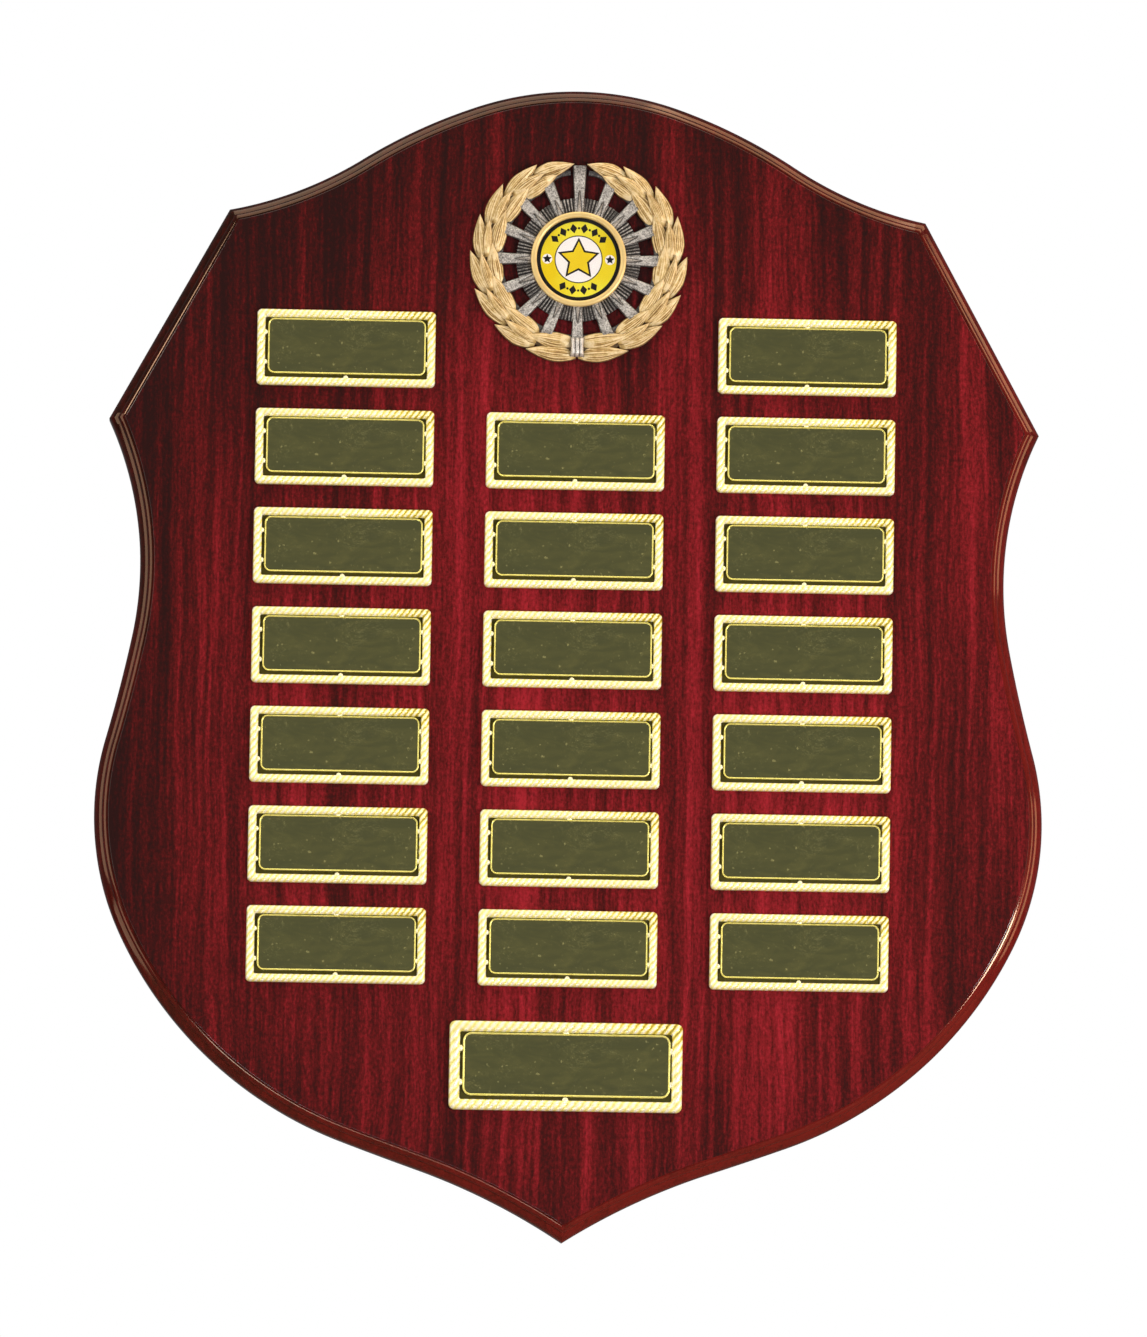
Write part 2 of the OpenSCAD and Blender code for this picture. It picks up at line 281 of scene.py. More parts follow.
class Surface:
    """One material and short calls for building its nodes."""

    def __init__(self, name, **values):
        self.material = bpy.data.materials.new(name)
        self.material.use_nodes = True
        self.tree = self.material.node_tree
        self.tree.nodes.clear()
        self.shader = self.node("BsdfPrincipled", values)
        out = self.node("OutputMaterial")
        self.tree.links.new(self.shader.outputs[0], out.inputs["Surface"])

    def node(self, kind, inputs=None, **props):
        made = self.tree.nodes.new("ShaderNode" + kind)
        for key, value in props.items():
            setattr(made, key, value)
        for key, value in (inputs or {}).items():
            self.feed(made.inputs[key], value)
        return made

    def feed(self, socket, value):
        if isinstance(value, bpy.types.NodeSocket):
            self.tree.links.new(value, socket)
        else:
            socket.default_value = value

    def set(self, **values):
        for key, value in values.items():
            self.feed(self.shader.inputs[key.replace("_", " ")], value)

    def grid(self, sx, sy, sz, offset=(0, 0, 0)):
        """Object coordinates counted in cells of sx, sy, sz millimetres."""
        coords = self.node("TexCoord").outputs["Object"]
        scale = (1 / (sx * MM), 1 / (sy * MM), 1 / (sz * MM))
        return self.node("Mapping", {"Vector": coords, "Scale": scale, "Location": offset}).outputs[0]

    def noise(self, vector, detail=2.0, roughness=0.5, distortion=0.0):
        inputs = {
            "Vector": vector, "Scale": 1.0, "Detail": detail,
            "Roughness": roughness, "Distortion": distortion,
        }
        return self.node("TexNoise", inputs).outputs["Fac"]

    def math(self, operation, a, b=0.0, c=0.0):
        made = self.node("Math", operation=operation)
        for socket, value in zip(made.inputs, (a, b, c)):
            self.feed(socket, value)
        return made.outputs[0]

    def span(self, value, low, high, to_low=0.0, to_high=1.0):
        """value between low and high, as a number between to_low and to_high."""
        inputs = {
            "Value": value, "From Min": low, "From Max": high, "To Min": to_low, "To Max": to_high,
        }
        return self.node("MapRange", inputs, clamp=True).outputs[0]

    def ramp(self, value, stops):
        """The colour at value between stops of (value, colour)."""
        made = self.node("ValToRGB", {"Fac": value})
        points = made.color_ramp.elements
        while len(points) < len(stops):
            points.new(0.5)
        for point, (at, colour) in zip(points, stops):
            point.position = at
            point.color = colour
        return made.outputs[0]

    def mix(self, factor, a, b):
        made = self.node("Mix", data_type="RGBA")
        self.feed(made.inputs[0], factor)
        self.feed(made.inputs[6], a)
        self.feed(made.inputs[7], b)
        return made.outputs[2]

    def bump(self, height, depth):
        """Bumps depth millimetres deep."""
        return self.node("Bump", {"Height": height, "Distance": depth * MM}).outputs[0]

    def attribute(self, name):
        return self.node("Attribute", attribute_name=name).outputs["Fac"]


def wood_tone(s, stripe=1.9):
    """Ribbon-striped grain along Z, from 0 in the dark stripes to 1 in the bright, and its pores."""
    coords = s.node("TexCoord").outputs["Object"]
    drift = s.noise(s.grid(45, 45, 110), detail=2)
    drift = s.math("MULTIPLY", s.math("SUBTRACT", drift, 0.5), 9 * MM)
    shift = s.node("CombineXYZ", {"X": drift}).outputs[0]
    warped = s.node("VectorMath", {0: coords, 1: shift}, operation="ADD").outputs[0]

    def layer(sx, sz, detail, roughness, offset):
        scale = (1 / (sx * MM), 1 / (sx * MM), 1 / (sz * MM))
        at = s.node("Mapping", {"Vector": warped, "Scale": scale, "Location": offset}).outputs[0]
        return s.noise(at, detail, roughness)

    bands = s.span(layer(stripe * 7, 260, 1, 0.5, (3, 0, 7)), 0.3, 0.7)
    stripes = s.span(layer(stripe, 85, 2, 0.5, (11, 5, 2)), 0.25, 0.75)
    fibres = s.span(layer(stripe * 0.5, 6, 2, 0.6, (2, 9, 4)), 0.25, 0.75)
    flecks = s.span(layer(0.8, 1.15, 2, 0.65, (7, 1, 8)), 0.25, 0.75)
    tone = s.math("MULTIPLY", bands, 0.20)
    tone = s.math("MULTIPLY_ADD", stripes, 0.30, tone)
    tone = s.math("MULTIPLY_ADD", fibres, 0.20, tone)
    tone = s.math("MULTIPLY_ADD", flecks, 0.30, tone)
    pores = s.span(layer(0.55, 3.5, 1, 0.4, (5, 3, 1)), 0.60, 0.72)
    return tone, pores


def mahogany_face():
    """Front veneer: stained ribbon mahogany under gloss lacquer, with a painted pool of light, brightest
    round one point and darker towards the outline.
    """
    s = Surface("mahogany_face")
    tone, pores = wood_tone(s)
    # painted light: the tone is raised round one point of the face and falls off with the square of the
    # distance from it
    from_light_pool_centre = s.node("VectorMath", {0: s.grid(110, 1000, 135, (-0.18, 0, 1.11))}, operation="LENGTH")
    far = s.math("POWER", from_light_pool_centre.outputs["Value"], 2.0)
    tone = s.math("ADD", tone, s.math("MULTIPLY_ADD", far, -0.15, 0.150))
    colour = s.ramp(tone, [
        (0.20, srgb(38, 14, 13)), (0.36, srgb(60, 14, 13)), (0.50, srgb(87, 17, 18)),
        (0.64, srgb(118, 23, 28)), (0.84, srgb(156, 33, 44)),
    ])
    colour = s.mix(s.math("MULTIPLY", pores, 0.45), colour, srgb(38, 13, 12))
    relief = s.math("MULTIPLY_ADD", pores, -0.6, tone)
    s.set(Base_Color=colour, Roughness=s.span(tone, 0.2, 0.8, 0.62, 0.5), Specular_IOR_Level=0.03,
          Coat_Weight=1.0, Coat_Roughness=0.06, Coat_IOR=1.4, Normal=s.bump(relief, 0.05))
    return s.material


def mahogany_edge():
    """Moulded edge: stained wood painted darker towards the upper left and lighter towards the lower
    right as shade and light, under lacquer that warms what it mirrors.
    """
    s = Surface("mahogany_edge")
    tone, pores = wood_tone(s, stripe=2.2)
    # painted light and shade: the tone falls towards the upper left and rises towards the lower right
    centred = s.grid(250, 250, 250, (0, 0, 0.44))
    lean = s.node("VectorMath", {0: centred, 1: (1, 0, -1)}, operation="DOT_PRODUCT")
    tone = s.math("MULTIPLY_ADD", lean.outputs["Value"], 0.42, tone)
    colour = s.ramp(tone, [
        (0.10, srgb(34, 12, 8)), (0.50, srgb(74, 17, 14)), (0.90, srgb(112, 25, 23)),
    ])
    colour = s.mix(s.math("MULTIPLY", pores, 0.3), colour, srgb(34, 12, 9))
    gloss = s.noise(s.grid(20, 20, 20), detail=1)
    ripple = s.noise(s.grid(6, 6, 12), detail=1)
    s.set(Base_Color=colour, Roughness=s.span(gloss, 0.3, 0.7, 0.08, 0.11), IOR=1.6,
          Specular_Tint=srgb(255, 214, 180), Normal=s.bump(ripple, 0.003))
    return s.material


def back_wood():
    """Back veneer: the same species, sealed but not stained or polished."""
    s = Surface("back_wood")
    tone, pores = wood_tone(s, stripe=3.4)
    colour = s.ramp(tone, [
        (0.20, srgb(92, 52, 38)), (0.50, srgb(126, 74, 54)), (0.80, srgb(156, 98, 72)),
    ])
    colour = s.mix(s.math("MULTIPLY", pores, 0.6), colour, srgb(62, 34, 26))
    relief = s.math("MULTIPLY_ADD", pores, -0.8, tone)
    s.set(Base_Color=colour, Roughness=s.span(tone, 0.2, 0.8, 0.72, 0.58), Specular_IOR_Level=0.35,
          Normal=s.bump(relief, 0.08))
    return s.material


def rope_gold():
    """Pale bright gilding on the frames, with painted highlight on the crests of the rope and painted
    shade in its grooves and inside the tray.
    """
    s = Surface("rope_gold", Metallic=0.2)
    cloud = s.noise(s.grid(2.2, 2.2, 2.2), detail=3)
    # on the frames this attribute is painted light and shade: near-white on the rope's crests, dark in
    # its grooves, on the tray's inner wall and floor and at the nibs' feet
    wash_and_shade = s.attribute("wash_and_shade")
    colour = s.ramp(s.math("MULTIPLY_ADD", cloud, 0.08, wash_and_shade), [
        (0.06, srgb(255, 255, 234)), (0.36, srgb(250, 243, 150)), (0.65, srgb(214, 192, 58)),
        (1.0, srgb(72, 66, 12)),
    ])
    grain = s.noise(s.grid(0.3, 0.3, 0.3), detail=2)
    s.set(Base_Color=colour, Roughness=s.span(cloud, 0.3, 0.7, 0.36, 0.26), Normal=s.bump(grain, 0.01))
    return s.material


def plate_gold():
    """Polished olive-gold plate with faint scuffs and smears under its lacquer."""
    s = Surface("plate_gold")
    smear = s.noise(s.grid(16, 16, 5), detail=4, roughness=0.6, distortion=1.6)
    scuff = s.noise(s.grid(5, 5, 3.2, (4, 0, 9)), detail=3, roughness=0.5, distortion=3.5)
    line = s.math("SUBTRACT", 1.0, s.span(s.math("ABSOLUTE", s.math("SUBTRACT", scuff, 0.5)), 0.0, 0.018))
    patch = s.span(s.noise(s.grid(13, 13, 8, (1, 0, 5)), detail=1), 0.5, 0.62)
    mark = s.math("MULTIPLY", line, patch)
    dust = s.span(s.noise(s.grid(1.1, 1.1, 1.1), detail=1), 0.70, 0.76)
    colour = s.mix(s.span(smear, 0.35, 0.7), srgb(222, 220, 150), srgb(238, 232, 150))
    film = s.span(smear, 0.45, 0.75, 0.0, 0.02)
    film = s.math("MULTIPLY_ADD", mark, 0.13, film)
    film = s.math("MULTIPLY_ADD", dust, 0.16, film)
    roughness = s.span(smear, 0.35, 0.7, 0.07, 0.11)
    relief = s.noise(s.grid(7, 7, 7), detail=2)
    s.set(Base_Color=colour, Metallic=s.math("SUBTRACT", 1.0, film), Roughness=roughness,
          Normal=s.bump(relief, 0.006))
    return s.material


def rim_gold():
    """Burnished raised rim of a plate."""
    s = Surface("rim_gold", Metallic=0.4)
    cloud = s.noise(s.grid(3, 3, 3), detail=3)
    colour = s.mix(cloud, srgb(232, 224, 96), srgb(248, 244, 160))
    s.set(Base_Color=colour, Roughness=s.span(cloud, 0.3, 0.7, 0.24, 0.34))
    return s.material


def antique_gold():
    """Antiqued gold leaf casting: pale satin gold with brown rubbed into the grooves, and painted shade
    along the leaves' edges, at their stalk ends and in the gaps between them.
    """
    s = Surface("antique_gold")
    wash_and_shade = s.attribute("wash_and_shade")
    cloud = s.noise(s.grid(1.6, 1.6, 1.6), detail=4, roughness=0.6)
    speck = s.noise(s.grid(0.35, 0.35, 0.35), detail=3, roughness=0.7)
    dirt_and_shade = s.math("ADD", wash_and_shade, s.span(cloud, 0.35, 0.75, -0.12, 0.2))
    dirt_and_shade = s.math("MULTIPLY_ADD", s.span(speck, 0.45, 0.75), 0.2, dirt_and_shade)
    colour = s.ramp(dirt_and_shade, [
        (0.02, srgb(232, 212, 166)), (0.26, srgb(202, 173, 108)), (0.58, srgb(146, 112, 62)),
        (0.95, srgb(70, 56, 40)),
    ])
    s.set(Base_Color=colour, Metallic=s.span(dirt_and_shade, 0.3, 0.9, 0.25, 0.1),
          Roughness=s.span(dirt_and_shade, 0.0, 0.9, 0.44, 0.66), Normal=s.bump(speck, 0.05))
    return s.material


def antique_silver(name="antique_silver"):
    """Antiqued silver casting: brushed and speckled, with black rubbed into the relief, and painted shade
    on the ring behind the leaves.
    """
    s = Surface(name)
    wash_and_shade = s.attribute("wash_and_shade")
    speck = s.noise(s.grid(0.4, 0.4, 0.4), detail=4, roughness=0.75)
    cloud = s.noise(s.grid(1.8, 1.8, 1.8, (5, 2, 1)), detail=3, roughness=0.6)
    dirt_and_shade = s.math("ADD", wash_and_shade, s.span(speck, 0.38, 0.66, -0.14, 0.46))
    dirt_and_shade = s.math("ADD", dirt_and_shade, s.span(cloud, 0.35, 0.7, -0.06, 0.14))
    colour = s.ramp(dirt_and_shade, [
        (0.0, srgb(226, 224, 218)), (0.28, srgb(170, 168, 163)), (0.58, srgb(92, 90, 88)),
        (0.92, srgb(34, 33, 34)),
    ])
    s.set(Base_Color=colour, Metallic=s.span(dirt_and_shade, 0.2, 0.9, 0.35, 0.1),
          Roughness=s.span(dirt_and_shade, 0.0, 0.9, 0.32, 0.60), Normal=s.bump(speck, 0.06))
    return s.material


def bezel_gold():
    """Satin gold ring, cleaner than the leaves."""
    s = Surface("bezel_gold")
    cloud = s.noise(s.grid(2.5, 2.5, 2.5), detail=3)
    speck = s.noise(s.grid(0.4, 0.4, 0.4), detail=2)
    colour = s.mix(cloud, srgb(222, 192, 122), srgb(238, 216, 152))
    s.set(Base_Color=colour, Metallic=0.3, Roughness=s.span(speck, 0.3, 0.7, 0.30, 0.42),
          Normal=s.bump(speck, 0.02))
    return s.material


def print_ink(name, low, high):
    """A printed colour that drifts a little across the insert."""
    s = Surface(name)
    drift = s.noise(s.grid(14, 14, 14, (2, 2, 2)), detail=2)
    grain = s.noise(s.grid(0.25, 0.25, 0.25), detail=1)
    colour = s.mix(s.span(drift, 0.35, 0.65), low, high)
    s.set(Base_Color=colour, Roughness=s.span(grain, 0.3, 0.7, 0.30, 0.40),
          Specular_IOR_Level=0.4, Normal=s.bump(grain, 0.004))
    return s.material


def clear_resin():
    """Almost invisible cast resin, seen by what it mirrors."""
    s = Surface("clear_resin", Alpha=0.05)
    haze = s.noise(s.grid(4, 4, 4), detail=2)
    s.set(Base_Color=s.mix(haze, srgb(40, 42, 46), srgb(60, 62, 66)),
          Roughness=s.span(haze, 0.3, 0.7, 0.04, 0.08), Specular_IOR_Level=0.6,
          Normal=s.bump(haze, 0.01))
    return s.material


def zinc_steel(name="zinc_steel", warm=False):
    """Zinc-plated steel with a fine brushed grain across it."""
    s = Surface(name, Metallic=1.0)
    brush = s.noise(s.grid(14, 2, 0.12), detail=3, roughness=0.6)
    cloud = s.noise(s.grid(6, 6, 6), detail=3)
    if warm:
        colour = s.mix(cloud, srgb(188, 172, 128), srgb(214, 202, 160))
    else:
        colour = s.mix(cloud, srgb(178, 181, 186), srgb(204, 206, 210))
    roughness = s.math("MULTIPLY_ADD", brush, 0.22, 0.24)
    s.set(Base_Color=colour, Roughness=roughness, Normal=s.bump(brush, 0.012))
    return s.material


def foam_tape():
    """White closed-cell foam."""
    s = Surface("foam_tape")
    cell = s.noise(s.grid(0.4, 0.4, 0.4), detail=3, roughness=0.7)
    colour = s.mix(cell, srgb(206, 206, 200), srgb(236, 236, 230))
    s.set(Base_Color=colour, Roughness=s.span(cell, 0.3, 0.7, 0.75, 0.9), Normal=s.bump(cell, 0.05))
    return s.material


def clear_film():
    """Thin milky adhesive film."""
    s = Surface("clear_film")
    haze = s.noise(s.grid(3, 3, 3), detail=2)
    colour = s.mix(haze, srgb(214, 214, 206), srgb(232, 232, 226))
    s.set(Base_Color=colour, Roughness=s.span(haze, 0.3, 0.7, 0.3, 0.45), Normal=s.bump(haze, 0.01))
    return s.material


# ---- the board ----

RECESS_GAP = 0.2
RECESS_DEPTH = 1.5
RECESS_R = 3.2
POCKET = (14, 23, 1.5)    # width, height and corner radius
POCKET_Z = -4.5
POCKET_DEPTH = 7.5


def back_cutter(box, centre, depth):
    """A block that reaches a depth into the back; box is its width, height and corner radius."""
    ends = (WALL_Y - depth * MM, WALL_Y + MM)
    rings = [rounded_ring(*box, y, centre=centre) for y in ends]
    return new_object("cutter", *loft(rings), [], smooth_angle=0)


def recess_cutter():
    """The hanger's recess, with a small gap all round it."""
    centre = ((hanger_low.x + hanger_high.x) / 2 / MM, (hanger_low.z + hanger_high.z) / 2 / MM)
    w, h = box_size("keyhole_hanger")
    return back_cutter((w + 2 * RECESS_GAP, h + 2 * RECESS_GAP, RECESS_R), centre, RECESS_DEPTH)


def pocket_cutter():
    """Clearance behind the hanger for the head of the wall screw."""
    return back_cutter(POCKET, (0, POCKET_Z), POCKET_DEPTH)


def make_core():
    """Board core with its double-bead moulding, and the recess and pocket in its back."""
    bead_in_end = QUIRK_IN + BEAD_IN
    profile = [(MOULD_W, VENEER_T), (MOULD_W, QUIRK_IN - 0.1)]
    profile += bead(QUIRK_IN, MOULD_W - BEAD_IN, BEAD_IN)
    profile += [(MOULD_W - BEAD_IN, bead_in_end + QUIRK_OUT - 0.1)]
    profile += bead(bead_in_end + QUIRK_OUT, 0, BEAD_OUT, BEAD_OUT_LEAN)
    profile += [(0, BOARD_T - VENEER_T - BACK_CHAMFER), (BACK_CHAMFER, BOARD_T - VENEER_T)]
    rings = inset_rings(shield_outline(), profile)
    core = new_object("board_edge", *loft_shield(rings), mahogany_edge())
    cut(core, [recess_cutter(), pocket_cutter()])
    place(core, ["board_core"], "core")


def make_face_veneer():
    """Front veneer with its edge eased."""
    profile = [*bead(0, MOULD_W, VENEER_EASE, steps=4), (MOULD_W, VENEER_T)]
    rings = inset_rings(shield_outline(), profile)
    face = new_object("face_veneer", *loft_shield(rings), mahogany_face())
    place(face, ["front_veneer"], "veneer")


def make_back_veneer():
    """Back veneer, cut round the hanger."""
    profile = [(BACK_CHAMFER, BOARD_T - VENEER_T), (BACK_CHAMFER + 0.05, BOARD_T - 0.1),
               (BACK_CHAMFER + 0.2, BOARD_T)]
    rings = inset_rings(shield_outline(), profile)
    back = new_object("back_face_veneer", *loft_shield(rings), back_wood())
    cut(back, [recess_cutter()])
    place(back, ["back_veneer"], "back_veneer")


# ---- cast relief ----

MEDAL_ORIGIN = Vector((MEDAL_X, FACE_Y, MEDAL_Z))
TAPE_T = 0.5


class Relief:
    """Closed solids that share one mesh, with a value of antiquing and painted shade for each point.

    A point is (x, z, height, wash). Its place is in millimetres from the origin, with the height
    towards the viewer, and its wash goes from 0 on bright metal to 1 in the dark.
    """

    def __init__(self, origin=MEDAL_ORIGIN):
        self.origin = Vector(origin)
        self.verts, self.faces, self.wash_and_shade = [], [], []

    def add_point(self, x, z, height, wash_and_shade):
        self.verts.append(self.origin + Vector((x, -height, z)) * MM)
        self.wash_and_shade.append(wash_and_shade)

    def add_skin(self, rings):
        """A closed skin through equal rings of points."""
        start = len(self.verts)
        for ring in rings:
            for point in ring:
                self.add_point(*point)
        _, faces = loft(rings)
        self.faces += [tuple(start + i for i in face) for face in faces]

    def add_grid(self, rows, back=TAPE_T, wall_wash_and_shade=0.8):
        """rows[i][j] is (x, z, height, wash). The edge of the grid drops straight to the back."""
        start = len(self.verts)
        n, m = len(rows), len(rows[0])
        for row in rows:
            for point in row:
                self.add_point(*point)
        for i in range(n - 1):
            for j in range(m - 1):
                a = start + i * m + j
                self.faces.append((a, a + 1, a + m + 1, a + m))
        rim = [(0, j) for j in range(m)] + [(i, m - 1) for i in range(1, n)]
        rim += [(n - 1, j) for j in range(m - 2, -1, -1)] + [(i, 0) for i in range(n - 2, 0, -1)]
        low = len(self.verts)
        # the side walls are darkened: antiquing with painted shade on the sides of the raised parts
        for i, j in rim:
            x, z, _, _ = rows[i][j]
            self.add_point(x, z, back, wall_wash_and_shade)
        for k, (i, j) in enumerate(rim):
            i2, j2 = rim[(k + 1) % len(rim)]
            after = low + (k + 1) % len(rim)
            self.faces.append((start + i * m + j, start + i2 * m + j2, after, low + k))
        self.faces.append(tuple(low + k for k in range(len(rim))))

    def add_lathe(self, profile, steps=160):
        """profile(step) gives a closed loop of (radius, height, wash), as long at every step."""
        start = len(self.verts)
        for k in range(steps):
            loop = profile(k)
            n = len(loop)
            for radius, height, wash_and_shade in loop:
                self.add_point(*polar(360 * k / steps, radius), height, wash_and_shade)
        for k in range(steps):
            for j in range(n):
                a, b = start + k * n, start + (k + 1) % steps * n
                self.faces.append((a + j, a + (j + 1) % n, b + (j + 1) % n, b + j))

    def build(self, name, material, smooth_angle=45):
        ob = new_object(name, self.verts, self.faces, material, smooth_angle)
        layer = ob.data.attributes.new("wash_and_shade", "FLOAT", "POINT")
        layer.data.foreach_set("value", self.wash_and_shade)
        return ob


# ---- the medallion ----
# Places on it are (x, z) from its centre in millimetres; heights are in front of the board.
# Angles are in degrees from the tie band at the bottom, and grow towards +X.

OUTER_LEAVES, OUTER_STEP, OUTER_SWEEP = 8, 20.7, 25.5
INNER_LEAVES, INNER_STEP, INNER_SWEEP = 7, 22, 29.5
MIDDLE_LEAVES, MIDDLE_STEP, MIDDLE_SWEEP = 6, 21.5, 24
LOWEST_START = 0.5    # the lowest leaf of the outer and inner rows starts at the tie band
VEINS = 7
SPOKES = 16
FAN_RIBS = 112


def polar(angle, radius):
    a = math.radians(angle - 90)
    return (radius * math.cos(a), radius * math.sin(a))


def leaf_half_width(t):
    """Half width of a laurel leaf from stalk to tip, as a share of its widest."""
    if t < 0.42:
        return 0.55 + 0.45 * math.sin(math.pi / 2 * t / 0.42) ** 0.9
    return 1 - 0.995 * ((t - 0.42) / 0.58) ** 1.5


def leaf_veins(rng):
    """Veins as (place across, width, depth, start, end), all as shares of the leaf."""
    veins = []
    for k in range(VEINS):
        at = -0.72 + 1.44 * k / (VEINS - 1) + rng.uniform(-0.06, 0.06)
        wide, deep = rng.uniform(0.045, 0.07), rng.uniform(0.35, 1.0)
        veins.append((at, wide, deep, rng.uniform(0.02, 0.3), rng.uniform(0.65, 1.0)))
    return veins


def leaf_rows(base, tip, width, bow, floor, rng):
    """A leaf from base to tip, folded along its rib and scored with veins; it lifts to its tip."""
    along, across = 28, 44
    base, tip = Vector(base), Vector(tip)
    way = (tip - base).normalized()
    out = Vector((way.y, -way.x))
    out *= math.copysign(1, out.dot(base))
    veins = leaf_veins(rng)
    rows = []
    for i in range(along + 1):
        t = i / along
        centre = base.lerp(tip, t) + out * bow * 4 * t * (1 - t)
        body = (0.45 + 0.55 * smoothstep(t, 0.0, 0.3)) * (1 - 0.55 * smoothstep(t, 0.6, 1.0))
        carved = []
        for at, wide, deep, first, last in veins:
            reach = smoothstep(t, first, first + 0.1) * (1 - smoothstep(t, last - 0.15, last))
            carved.append((at, wide, deep * reach))
        row = []
        for j in range(across + 1):
            s = 2 * j / across - 1
            x, z = centre + out * (s * leaf_half_width(t) * width / 2)
            vein = sum(deep * math.exp(-(((s - at) / wide) ** 2)) for at, wide, deep in carved)
            edge = smoothstep(abs(s), 0.84, 1.0)
            height = floor + 1.3 * t + 1.1 * body * (1 - abs(s) ** 1.7) - 0.26 * vein
            # darkness: antiquing in the veins, and antiquing with painted shade along the leaf's edges
            # and at its stalk end, which lies under a neighbour's tip
            darkness = 0.78 * vein + 0.85 * edge + 0.45 * (1 - smoothstep(t, 0.0, 0.14))
            row.append((x, z, height, min(darkness, 1.0)))
        rows.append(row)
    return rows


def outer_tip_radius(angle):
    """The wreath is widest a little above its middle and closes in at the top."""
    u = (angle - 95) / 64
    return 32.3 - 1.3 * u * u - 0.4 * max(u, 0) ** 6


def make_wreath():
    """Two branches of three rows of leaves over a curved bed."""
    rng = random.Random(11)
    wreath = Relief()

    def add_leaf(side, start, sweep, r_base, r_tip, width, bow, floor):
        turn, swell = rng.uniform(-0.9, 0.9), rng.uniform(-0.2, 0.2)
        base, tip = polar(side * start, r_base), polar(side * (start + sweep + turn), r_tip)
        wreath.add_grid(leaf_rows(base, tip, width + swell, bow, floor, rng))

    for side in (1, -1):
        for k in range(OUTER_LEAVES):
            start = OUTER_STEP * k + 5.5 if k else LOWEST_START
            sweep = OUTER_SWEEP if k else OUTER_SWEEP + 3.5
            r_tip = outer_tip_radius(OUTER_STEP * k + 5.5 + OUTER_SWEEP)
            add_leaf(side, start, sweep, 28.5, r_tip + 0.3, 5.0, 0.3, 1.35)
        for k in range(INNER_LEAVES):
            start = INNER_STEP * k + 5 if k else LOWEST_START
            sweep = INNER_SWEEP if k else INNER_SWEEP + 4
            add_leaf(side, start, sweep, 25.2, 26.3 if k else 27.4, 5.2, 0.4, 1.5)
        for k in range(MIDDLE_LEAVES):
            start = MIDDLE_STEP * k + 26
            r_tip = outer_tip_radius(start + MIDDLE_SWEEP)
            add_leaf(side, start, MIDDLE_SWEEP, 27.4, r_tip - 3.0, 3.7, 0.5, 2.1)
        bed = []
        for angle in range(2, 171, 2):
            inner = 23.7 + 2.6 * smoothstep(angle, 148, 168)
            section = ((inner, 1.6), (inner + 0.7, 2.0), (28.0, 2.0), (28.6, 1.6))
            # the bed shows only in the gaps between leaves; its dark is antiquing with painted shade
            # there
            bed.append([(*polar(side * angle, radius), height, 0.85) for radius, height in section])
        wreath.add_grid(bed)
    place(wreath.build("medal_wreath", antique_gold()), ["medal_casting"], "casting")


def spoke_rows(angle, r_out):
    """A flared bar, dark at its edges, with a spear-shaped ridge by the hub."""
    along, across = 32, 26
    r_in = 13.6
    rows = []
    for i in range(along + 1):
        t = i / along
        radius = r_in + (r_out - r_in) * t
        half = (2.5 + 0.115 * (radius - r_in)) / 2
        spear = 0.66 * max(1 - t / 0.5, 0.0)
        row = []
        for j in range(across + 1):
            s = 2 * j / across - 1
            edge = smoothstep(abs(s), 0.80, 0.98)
            ridge = max(1 - abs(s) / spear, 0.0) if spear > 0.02 else 0.0
            line = math.exp(-(((abs(s) - spear) / 0.11) ** 2)) if spear > 0.02 else 0.0
            height = 2.6 + 0.75 * ridge - 0.18 * line - 0.4 * edge
            darkness = 0.08 + 0.6 * edge + 0.4 * line * (1 - edge) + 0.25 * smoothstep(t, 0.7, 1.0)
            x, z = polar(angle + math.degrees(s * half / radius), radius)
            row.append((x, z, height, min(darkness, 1.0)))
        rows.append(row)
    return rows


def fan_loop(k):
    """One radial slice of the fluted fan between the spokes."""
    rib = abs(math.sin(math.pi * k / 8)) ** 0.8
    top = [(13.4, 0.0), (14.3, 0.3), (16.4, 0.15), (18.2, 0.0), (18.6, -0.2)]
    darkness = 0.4 + 0.6 * (1 - rib) + 0.15 * math.sin(k * 0.71)
    loop = [(radius, 1.75 + rise + 0.5 * rib, darkness) for radius, rise in top]
    return [(13.4, TAPE_T, 0.8), *loop, (18.6, TAPE_T, 0.9)]


def make_sunburst():
    """Spokes, the fluted fan round the hub and the ring behind the leaves, dark with antiquing and
    painted shade.
    """
    burst = Relief()
    for k in range(SPOKES):
        burst.add_grid(spoke_rows(360 / SPOKES * k, 28.4 if k == SPOKES // 2 else 25.2))
    burst.add_lathe(fan_loop, steps=FAN_RIBS * 8)
    for side in (1, -1):
        ledge = []
        for angle in range(0, 175, 2):
            inner = 22.7 + 2.9 * smoothstep(angle, 146, 170)
            # dark: antiquing with painted shade under the leaves' inner edges
            section = ((inner, 1.5, 0.8), (inner + 0.3, 1.8, 0.55), (inner + 1.5, 1.9, 0.8))
            ledge.append([(*polar(side * angle, radius), *rest) for radius, *rest in section])
        burst.add_grid(ledge)
    place(burst.build("medal_sunburst", antique_silver()), ["medal_casting"], "casting")


def make_bezel():
    """Rounded gold ring that holds the insert."""
    ring = Relief()
    r_in, r_out, top, floor = 12.58, 14.3, 4.35, 2.4
    mid, half = (r_in + r_out) / 2, (r_out - r_in) / 2
    crown = [(mid - half * math.cos(a), top - 0.55 + 0.55 * math.sin(a), 0.0)
             for a in (math.pi * k / 12 for k in range(13))]
    loop = [(r_in, floor, 0.0), *crown, (r_out, 1.9, 0.0), (r_out - 0.4, TAPE_T, 0.0),
            (10.0, TAPE_T, 0.0), (10.0, floor, 0.0)]
    ring.add_lathe(lambda k: loop)
    place(ring.build("medal_bezel", bezel_gold()), ["medal_casting"], "casting")


